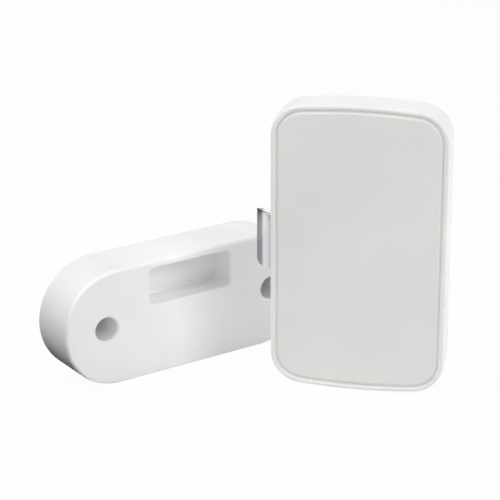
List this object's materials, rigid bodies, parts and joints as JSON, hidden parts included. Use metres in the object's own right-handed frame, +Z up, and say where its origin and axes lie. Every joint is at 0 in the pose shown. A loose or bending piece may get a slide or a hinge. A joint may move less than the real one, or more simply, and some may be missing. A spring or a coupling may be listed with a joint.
{
  "type": "drawer lock",
  "caption": "Slim motor-driven drawer lock with a sprung bevelled bolt, a push-in front panel and a separate stadium-shaped keeper block",
  "frame": {"origin": "middle of the lock case's flat back face, where it is screwed to the drawer", "axes": "+Z up along the case, +Y out of the back face towards the drawer front, +X away from the bolt"},
  "size_m": [0.1298, 0.08, 0.095],
  "materials": {
    "case_white": "satin white moulded plastic",
    "panel_grey": "fine matte light warm grey plastic",
    "keeper_white": "satin white moulded plastic",
    "bolt_plating": "polished plated casting",
    "steel": "bright steel",
    "brass": "turned brass",
    "gear_plastic": "natural acetal",
    "dark_plastic": "dark moulded plastic",
    "board_green": "green solder mask on glass laminate",
    "cell_foil": "dull metal foil",
    "foam": "soft foam",
    "red_insulation": "red wire insulation",
    "black_insulation": "black wire insulation"
  },
  "bodies": {
    "lock": {"rear_case": "case_white", "inner_plate": "dark_plastic", "cover_screw_1": "steel", "cover_screw_2": "steel", "cover_screw_3": "steel", "cover_screw_4": "steel", "wheel_axle": "steel", "worm_bush": "brass", "gearbox": "steel", "motor_can": "steel", "motor_cap": "dark_plastic", "return_spring": "steel", "spring_rod": "steel", "cell_pad": "foam", "cell_pouch": "cell_foil", "circuit_board": "board_green", "board_screw_1": "steel", "board_screw_2": "steel", "controller_chip": "dark_plastic", "radio_module": "cell_foil", "buzzer": "dark_plastic", "buffer_capacitor": "cell_foil", "hall_sensor": "dark_plastic", "cell_socket": "gear_plastic", "motor_socket": "gear_plastic", "cell_lead_red": "red_insulation", "cell_lead_black": "black_insulation", "motor_lead_red": "red_insulation", "motor_lead_black": "black_insulation", "charging_port": "steel", "switch_base": "dark_plastic", "keeper_block": "keeper_white"},
    "panel": {"front_panel": "panel_grey"},
    "slider": {"drive_slider": "gear_plastic"},
    "bolt": {"latch_bolt": "bolt_plating", "bolt_magnet": "steel"},
    "wheel": {"worm_wheel": "gear_plastic"},
    "worm": {"worm_shaft": "brass"},
    "button": {"switch_button": "gear_plastic"}
  },
  "joints": [
    {"name": "drive_slide", "type": "slide", "parent": "lock", "child": "slider", "axis": [1, 0, 0], "range_m": [0, 0.0059], "deforming": ["return_spring"]},
    {"name": "bolt_push", "type": "slide", "parent": "slider", "child": "bolt", "axis": [1, 0, 0], "range_m": [0, 0.0059], "stiffness_N_per_m": 150, "springref_m": -0.008, "deforming": ["return_spring"]},
    {"name": "wheel_turn", "type": "hinge", "parent": "lock", "child": "wheel", "pos_m": [-0.0085, -0.005, 0.0169], "axis": [0, 1, 0], "range_deg": [-113, 0]},
    {"name": "worm_turn", "type": "hinge", "parent": "lock", "child": "worm", "pos_m": [0, -0.005, 0.0169], "axis": [0, 0, 1], "range_deg": [-2938, 0]},
    {"name": "panel_pull", "type": "slide", "parent": "lock", "child": "panel", "axis": [0, -1, 0], "range_m": [0, 0.02]},
    {"name": "button_press", "type": "slide", "parent": "lock", "child": "button", "axis": [0, 1, 0], "range_m": [0, 0.00025], "stiffness_N_per_m": 100, "springref_m": -0.001}
  ],
  "couplings": [
    {"joint": "wheel_turn", "follows": "drive_slide", "rad_per_m": -333.33},
    {"joint": "worm_turn", "follows": "drive_slide", "rad_per_m": -8666.7}
  ]
}
